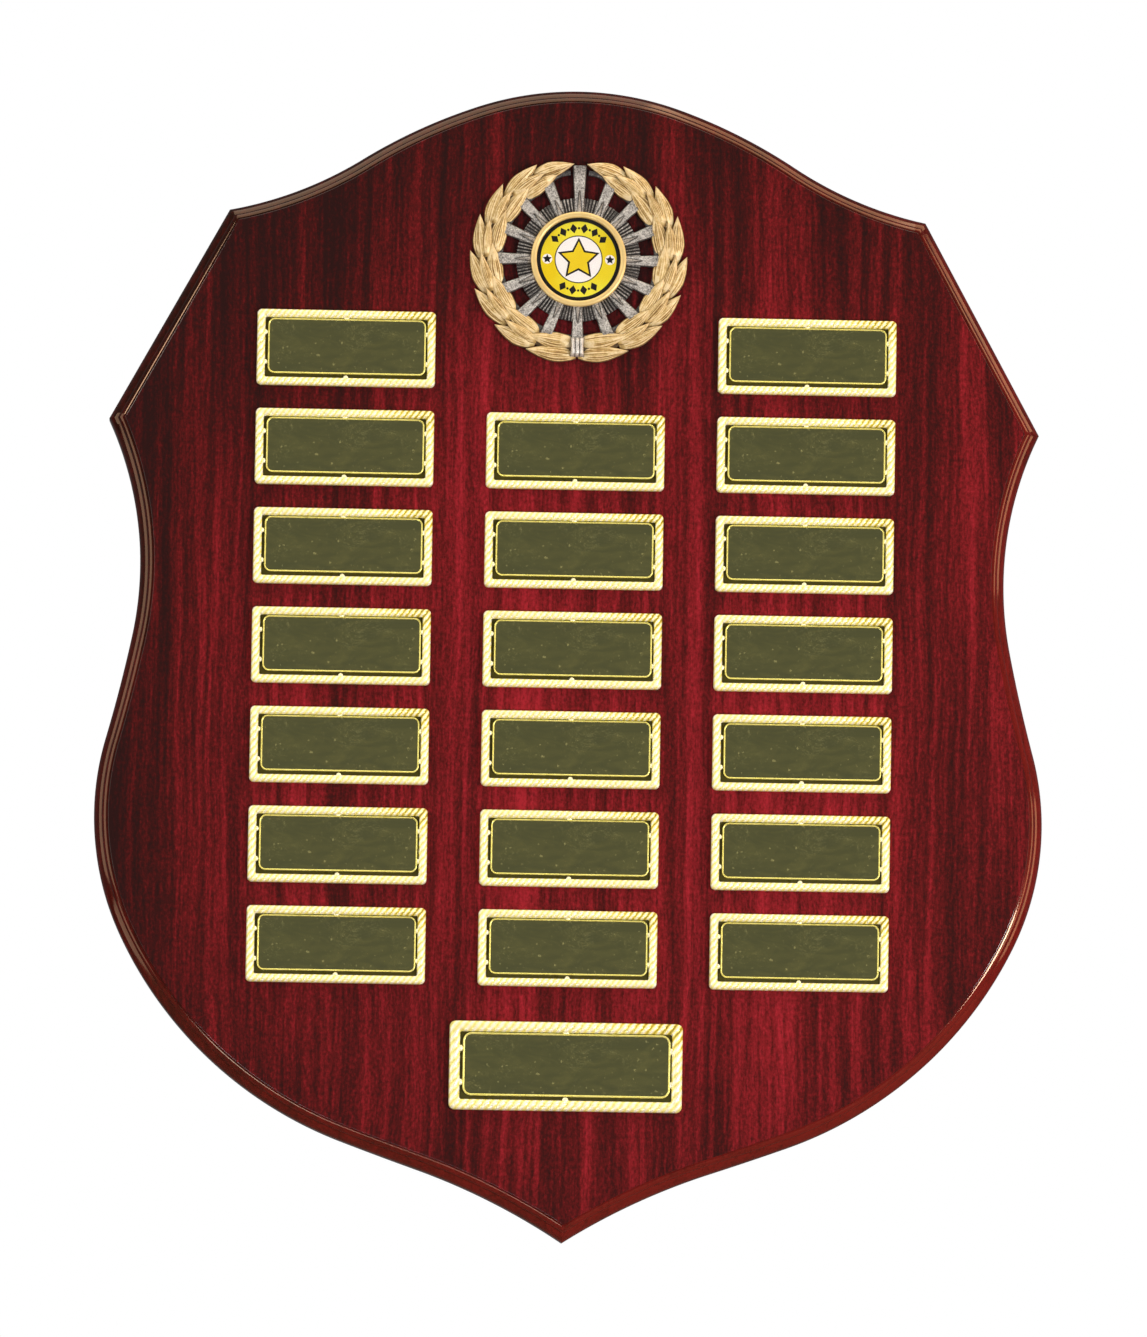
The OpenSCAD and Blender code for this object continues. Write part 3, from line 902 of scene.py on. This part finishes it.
def make_tie_band():
    """Silver band with upright reeds that ties the two branches at the bottom."""
    band = Relief()
    width, height, reeds, radius = 4.3, 5.7, 3, 26.4
    across, up = 42, 18
    rows = []
    for i in range(up + 1):
        v = 2 * i / up - 1
        roll = max(1 - v ** 4, 0.0) ** 0.5
        row = []
        for j in range(across + 1):
            s = 2 * j / across - 1
            reed = abs(math.sin(math.pi * reeds * (s + 1) / 2)) ** 0.5
            x, z = s * width / 2 * (1 - 0.1 * (1 - v * v)), v * height / 2 - radius
            top = 2.7 + 1.3 * roll * max(1 - s ** 6, 0.0) ** 0.5 + 0.4 * reed * roll
            row.append((x, z, top, 0.7 * (1 - reed) - 0.18 * reed))
        rows.append(row)
    band.add_grid(rows)
    place(band.build("medal_tie_band", antique_silver("band_silver")), ["medal_casting"], "casting")


# ---- the printed insert ----


def star_points(radius, waist):
    """Corners of a five-pointed star, with one point up, as (x, z) in mm."""
    corners = []
    for k in range(10):
        r = radius if k % 2 == 0 else radius * waist
        a = math.radians(90 - 36 * k)
        corners.append((r * math.cos(a), r * math.sin(a)))
    return corners


class Print:
    """Thin layers of ink on the insert, each a closed sheet of its own colour.

    Sheets are loops of (x, z) from the insert's centre, in millimetres.
    """

    def __init__(self, colours):
        self.colours = colours
        self.verts, self.faces, self.inks = [], [], []

    def add_sheet(self, loop, low, high, ink, hole=None):
        """A sheet between two heights; a hole in it has as many points as the loop."""
        start, n = len(self.verts), len(loop)
        rings = [(loop, low), (loop, high)]
        if hole:
            rings = [(hole, low), *rings, (hole, high)]
        for points, height in rings:
            self.verts += [MEDAL_ORIGIN + Vector((x, -height, z)) * MM for x, z in points]
        made = []
        for j in range(len(rings) if hole else 1):
            for i in range(n):
                a, b = start + j * n, start + (j + 1) % len(rings) * n
                made.append((a + i, a + (i + 1) % n, b + (i + 1) % n, b + i))
        if not hole:
            made.append(tuple(start + i for i in range(n)))
            made.append(tuple(start + n + i for i in range(n)))
        self.faces += made
        self.inks += [ink] * len(made)

    def build(self, name):
        ob = new_object(name, self.verts, self.faces, self.colours, smooth_angle=30)
        ob.data.polygons.foreach_set("material_index", self.inks)
        return ob


YELLOW, BLACK, WHITE, GOLD = range(4)
INK_T = 0.03
INSERT_R = 12.5
BAND_MID_R = 9.4


def add_side_stars(art, top):
    """A white dot with a black star in it, left and right of the middle."""
    for side in (-1, 1):
        spot = (side * BAND_MID_R, 0)
        art.add_sheet(circle_points(1.5, spot, 40), top, top + INK_T, WHITE)
        star = [(x + spot[0], z + spot[1]) for x, z in star_points(1.4, 0.48)]
        art.add_sheet(star, top + INK_T, top + 2 * INK_T, BLACK)


def add_lozenges(art, top, middle, count, pitch=20):
    """A row of lozenges with dots between them round the yellow band; angles in degrees."""
    for k in range(count):
        a = math.radians(middle + (k - (count - 1) / 2) * pitch)
        out, along = Vector((math.cos(a), math.sin(a))), Vector((-math.sin(a), math.cos(a)))
        centre = out * BAND_MID_R
        corners = [out * 1.45, along * 1.1, out * -1.45, along * -1.1]
        art.add_sheet([tuple(centre + c) for c in corners], top, top + INK_T, BLACK)
        if k:
            b = a - math.radians(pitch / 2)
            dot = (BAND_MID_R * math.cos(b), BAND_MID_R * math.sin(b))
            art.add_sheet(circle_points(0.36, dot, 20), top, top + INK_T, BLACK)


def make_insert():
    """Printed disc: a plain star on white in a yellow band with a black rim."""
    base = (FACE_Y - disc_high.y) / MM
    top = (FACE_Y - disc_low.y) / MM
    layer = [top + INK_T * k for k in range(5)]
    art = Print([
        print_ink("ink_yellow", srgb(238, 212, 14), srgb(246, 240, 66)),
        print_ink("ink_black", srgb(14, 13, 14), srgb(24, 22, 24)),
        print_ink("ink_white", srgb(253, 253, 252), srgb(255, 255, 255)),
        print_ink("ink_gold", srgb(232, 200, 16), srgb(252, 232, 48)),
    ])
    art.add_sheet(circle_points(INSERT_R), base, top, YELLOW)
    art.add_sheet(circle_points(INSERT_R), top, layer[1], BLACK, hole=circle_points(11.4))
    art.add_sheet(circle_points(7.2), top, layer[1], BLACK)
    art.add_sheet(circle_points(6.9), layer[1], layer[2], WHITE)
    art.add_sheet(star_points(6.6, 0.50), layer[2], layer[3], BLACK)
    art.add_sheet(star_points(5.4, 0.49), layer[3], layer[4], GOLD)
    add_side_stars(art, top)
    add_lozenges(art, top, middle=90, count=6)
    add_lozenges(art, top, middle=270, count=4)
    place(art.build("insert_print"), ["insert_disc"], "insert")


def make_lens():
    """Clear domed cap over the insert."""
    low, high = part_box("insert_dome")
    rim, rise, steps = 12.4, (high.y - low.y) / MM, 14
    ball = (rim * rim + rise * rise) / (2 * rise)
    foot = (FACE_Y - high.y) / MM
    arc = []
    for k in range(steps - 1, 0, -1):
        radius = rim * k / steps
        arc.append((radius, foot + rise - ball + math.sqrt(ball ** 2 - radius ** 2), 0.0))
    loop = [(0.02, foot + 0.15, 0.0), (rim, foot + 0.15, 0.0), *arc, (0.02, foot + rise, 0.0)]
    lens = Relief()
    lens.add_lathe(lambda k: loop)
    place(lens.build("insert_lens", clear_resin()), ["insert_dome"], "dome")


# ---- framed plates ----

TAPE_UNDER = 0.3
FLOOR_T = 0.8
FILM_T = 0.2
PLATE_T = 0.6
BORDER_W = 2.45
SHOULDER_T = 1.2
ROPE_CREST = 1.2
ROPE_STEPS = 12
ROPE_X = 1.76
ROPE_Z = 2.3
PLATE_SEAT = (0.2, 0.42)    # the plates sit high and a little right in their trays


def matched_loops(w, h, border, outer_r, inner_r, step):
    """Outer and inner loops of a border with as many points each, as (x, z) in mm."""
    outer_box = (w, h, outer_r)
    inner_box = (w - 2 * border, h - 2 * border, inner_r)
    outer, inner = [], []
    arc = 6
    for here, after in zip(CORNERS, CORNERS[1:] + CORNERS[:1]):
        for k in range(arc + 1):
            outer.append(corner_point(here, *outer_box, 90 * k / arc))
            inner.append(corner_point(here, *inner_box, 90 * k / arc))
        o, i = outer[-1], inner[-1]
        next_o, next_i = corner_point(after, *outer_box), corner_point(after, *inner_box)
        count = round((next_o - o).length / step)
        outer += [o.lerp(next_o, k / count) for k in range(1, count)]
        inner += [i.lerp(next_i, k / count) for k in range(1, count)]
    return outer, inner


def nib_rings(x, z, radius, floor, top):
    """A small round pip in the tray, from its foot to its crown."""
    rises, turns = 5, 14
    # painted shade at the pip's foot, light on its crown
    levels = [(radius, floor - 0.1, 0.9)]
    for i in range(rises):
        a = math.pi / 2 * i / (rises - 1)
        levels.append((radius * math.cos(a), floor + (top - floor) * (0.55 + 0.45 * math.sin(a)), 0.1))
    rings = []
    for r, height, wash_and_shade in levels:
        around = circle_points(r + 0.01, (x, z), turns)
        rings.append([(px, pz, height, wash_and_shade) for px, pz in around])
    return rings


def make_frame_data(name, w, h, k, material):
    """Tray frame with a rope border whose strands all slant the same way, and nibs inside it; its
    grooves, inner wall and floor carry painted shade.
    """
    border = BORDER_W * k
    outer, inner = matched_loops(w, h, border, 1.4 * k, 0.45 * k, 0.28)
    floor, shoulder = TAPE_UNDER + FLOOR_T, TAPE_UNDER + SHOULDER_T

    def rope_point(place, dome):
        x, z = place
        groove = 0.5 + 0.5 * math.cos(2 * math.pi * (x / ROPE_X - z / ROPE_Z) / k)
        height = shoulder + ROPE_CREST * dome - 0.24 * groove ** 1.5 * dome
        # the groove is painted darker as shade, more so towards the upper right; the crests stay light as
        # painted highlight
        return x, z, height, groove * (0.42 + 0.45 * smoothstep(x / w + z / h, 0.55, 0.95))

    # the outer foot is painted a little darker as shade against the board
    rings = [[(x, z, TAPE_UNDER, 0.3) for x, z in outer]]
    for step in range(ROPE_STEPS + 1):
        f = 0.5 - 0.5 * math.cos(math.pi * step / ROPE_STEPS)
        dome = max(1 - abs(2 * f - 1) ** 2.6, 0.0) ** 0.5
        rings.append([rope_point(o.lerp(i, f), dome) for o, i in zip(outer, inner)])
    # painted shade on the inner wall and the tray floor under the plate
    rings.append([(x, z, shoulder - 0.25, 0.8) for x, z in inner])
    rings.append([(x, z, floor, 1.0) for x, z in inner])
    tray = Relief((0, 0, 0))
    tray.add_skin(rings)
    iw, ih = w / 2 - border, h / 2 - border
    for x, z in ((0, -ih), (0, ih), (-iw, -ih / 2), (-iw, ih / 2), (iw, -ih / 2), (iw, ih / 2)):
        tray.add_skin(nib_rings(x, z, 0.75 * k, floor, shoulder + 0.55))
    return take_mesh(tray.build(name, material, 50))


def make_plate_data(name, w, h, k, face, rim):
    """Plate with a raised half-round rim and a flat polished field."""
    low = TAPE_UNDER + FLOOR_T + FILM_T
    top = low + PLATE_T
    bead_r, steps = 0.2 * k, 8
    profile = [(0.0, low)]
    for j in range(steps + 1):
        a = math.pi * j / steps
        profile.append((bead_r - bead_r * math.cos(a), top + 0.22 * math.sin(a)))
    profile.append((2 * bead_r + 0.05, top - 0.02))
    rings = []
    for inset, height in profile:
        r = max(2.0 * k - inset, 0.3)
        rings.append(rounded_ring(w - 2 * inset, h - 2 * inset, r, -height * MM, steps=10))
    ob = new_object(name, *loft(rings), [face, rim], 50)
    for polygon in ob.data.polygons:
        flat = len(polygon.vertices) > 4 and polygon.normal.y < -0.9
        polygon.material_index = 0 if flat else 1
    return take_mesh(ob)


def take_mesh(ob):
    """The mesh of an object that is removed, for copies to share."""
    mesh = ob.data
    bpy.data.objects.remove(ob)
    return mesh


def put_copy(mesh, name, node, slot, shift=(0, 0)):
    """An object of a shared mesh, centred on its CAD node but for a shift in millimetres."""
    low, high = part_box(node)
    ob = bpy.data.objects.new(name, mesh)
    bpy.context.scene.collection.objects.link(ob)
    ob.location = ((low.x + high.x) / 2 + shift[0] * MM, FACE_Y, (low.z + high.z) / 2 + shift[1] * MM)
    place(ob, [node], slot)


def make_plates():
    """Every year frame and plate from one pair of meshes, and the larger title pair."""
    gold, field, rim = rope_gold(), plate_gold(), rim_gold()
    small = box_size("year_frame_01")
    small_plate = box_size("year_plate_01")
    large = box_size("title_frame")
    large_plate = box_size("title_plate")
    k = large[0] / small[0]
    frame_data = make_frame_data("year_frame", *small, 1.0, gold)
    plate_data = make_plate_data("year_plate", *small_plate, 1.0, field, rim)
    years = sorted(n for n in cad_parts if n.startswith("year_frame_"))
    for node in years:
        number = node.rsplit("_", 1)[1]
        put_copy(frame_data, "rope_frame_" + number, node, "frame")
        put_copy(plate_data, "blank_plate_" + number, "year_plate_" + number, "plate", PLATE_SEAT)
    title_frame = make_frame_data("title_frame_mesh", *large, k, gold)
    put_copy(title_frame, "title_rope_frame", "title_frame", "frame")
    title_plate = make_plate_data("title_plate_mesh", *large_plate, k, field, rim)
    put_copy(title_plate, "title_blank_plate", "title_plate", "plate", PLATE_SEAT)


# ---- CAD parts that stay, with finished materials ----


def dress(node, material):
    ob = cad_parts[node]
    ob.data.materials.clear()
    ob.data.materials.append(material)


def dress_kept_parts():
    dress("keyhole_hanger", zinc_steel())
    dress("hanger_screws", zinc_steel("zinc_screw", warm=True))
    tape, film = foam_tape(), clear_film()
    for node in ("frame_tapes", "medal_tape"):
        dress(node, tape)
    for node in ("plate_films", "insert_tape"):
        dress(node, film)


# ---- studio ----

VIEW_DISTANCE = 3.2
VIEW_AZIMUTH = -2.0
VIEW_ELEVATION = -5.0
VIEW_ROLL = 0.9
VIEW_HEIGHT = 0.3996
AIM = Vector((0.0005, FACE_Y, -0.1287))
ROOM_LIGHT = 0.11
LIGHT_DISTANCE = 1.3


def make_camera():
    data = bpy.data.cameras.new("camera")
    data.sensor_fit = "VERTICAL"
    data.sensor_height = 24
    data.lens = 24 * VIEW_DISTANCE / VIEW_HEIGHT
    data.clip_end = 50
    cam = bpy.data.objects.new("camera", data)
    bpy.context.scene.collection.objects.link(cam)
    az, el = math.radians(VIEW_AZIMUTH), math.radians(VIEW_ELEVATION)
    away = Vector((math.sin(az) * math.cos(el), -math.cos(az) * math.cos(el), math.sin(el)))
    cam.location = AIM + away * VIEW_DISTANCE
    look = (-away).to_track_quat("-Z", "Y")
    cam.rotation_mode = "QUATERNION"
    cam.rotation_quaternion = look @ Quaternion((0, 0, 1), math.radians(VIEW_ROLL))
    bpy.context.scene.camera = cam


def add_softbox(name, azimuth, off_axis, size, radiance, colour=(1, 1, 1)):
    """A softbox aimed at the plaque.

    azimuth is where it stands round the view, 0 at the right and 90 at the top, and off_axis is
    how far from the line of sight. Its size is across that direction and along it.
    """
    data = bpy.data.lights.new(name, "AREA")
    data.shape = "RECTANGLE"
    data.size, data.size_y = size
    data.energy = radiance * math.pi * size[0] * size[1]
    data.color = colour
    lamp = bpy.data.objects.new(name, data)
    bpy.context.scene.collection.objects.link(lamp)
    a, t = math.radians(azimuth), math.radians(off_axis)
    way = Vector((math.sin(t) * math.cos(a), -math.cos(t), math.sin(t) * math.sin(a)))
    across = Vector((-math.sin(a), 0, math.cos(a)))
    lamp.location = AIM + way * LIGHT_DISTANCE
    turned = Matrix((across, way.cross(across), way)).transposed()
    lamp.rotation_mode = "QUATERNION"
    lamp.rotation_quaternion = turned.to_quaternion()
    lamp.visible_camera = False


def make_lights():
    """Softboxes for the face, the metal and the lines along the moulding, and two strips that glint."""
    cool = (0.84, 0.93, 1.0)
    warm = (1.0, 0.88, 0.76)
    amber = (1.0, 0.70, 0.48)
    russet = (1.0, 0.28, 0.18)
    add_softbox("softbox_top", 96, 74, (1.2, 1.5), 2.0, warm)
    add_softbox("softbox_high_right", 62, 79, (0.7, 0.8), 3.2, amber)
    add_softbox("softbox_shoulder", 29, 78, (0.3, 0.6), 4.2, amber)
    add_softbox("softbox_left", 172, 62, (0.9, 0.9), 2.3, warm)
    add_softbox("softbox_low_left", 219, 76, (1.0, 0.7), 2.0, warm)
    add_softbox("softbox_key", 248, 41, (0.7, 0.7), 10.8, cool)
    add_softbox("softbox_right", -8, 68, (0.7, 0.5), 4.2, amber)
    add_softbox("softbox_low_right", -60, 70, (1.1, 0.8), 3.2, russet)
    add_softbox("strip_low_right", -19, 36, (0.17, 0.42), 38.5)
    add_softbox("strip_high_left", 143, 42, (0.12, 0.32), 14.0, warm)


def make_world():
    """A dim studio that the lacquer and metal mirror, with a pure white backdrop to the camera."""
    world = bpy.data.worlds.new("studio")
    bpy.context.scene.world = world
    world.use_nodes = True
    tree = world.node_tree
    tree.nodes.clear()
    path = tree.nodes.new("ShaderNodeLightPath")
    pick = tree.nodes.new("ShaderNodeMix")
    back = tree.nodes.new("ShaderNodeBackground")
    out = tree.nodes.new("ShaderNodeOutputWorld")
    tree.links.new(path.outputs["Is Camera Ray"], pick.inputs[0])
    pick.inputs[2].default_value = ROOM_LIGHT
    pick.inputs[3].default_value = 1.0
    tree.links.new(pick.outputs[0], back.inputs["Strength"])
    back.inputs["Color"].default_value = (1, 1, 1, 1)
    tree.links.new(back.outputs[0], out.inputs["Surface"])


def make_floor():
    """Round pale floor well below the tip; only the camera sees how pale it is."""
    radius, drop = 2.6, 0.45
    z = core_low.z - drop
    rings = [[(x, y, z) for x, y in circle_points(r)] for r in (radius, radius / 2)]
    s = Surface("pale_floor")
    cloud = s.noise(s.grid(400, 400, 400), detail=2)
    seen = s.node("LightPath").outputs["Is Camera Ray"]
    pale = s.mix(cloud, srgb(238, 238, 238), srgb(244, 244, 244))
    s.set(Base_Color=s.mix(seen, srgb(150, 120, 110), pale), Roughness=0.8,
          Emission_Color=srgb(244, 244, 244), Emission_Strength=s.math("MULTIPLY", seen, 0.45))
    floor = new_object("floor", *loft(rings, close_start=False), s.material, 0)


def set_colour_management():
    view = bpy.context.scene.view_settings
    view.view_transform = "Standard"
    view.look = "None"
    view.exposure = 0
    view.gamma = 1


make_camera()
make_core()
make_face_veneer()
make_back_veneer()
make_wreath()
make_sunburst()
make_bezel()
make_tie_band()
make_insert()
make_lens()
make_plates()
dress_kept_parts()
make_world()
make_floor()
make_lights()
set_colour_management()
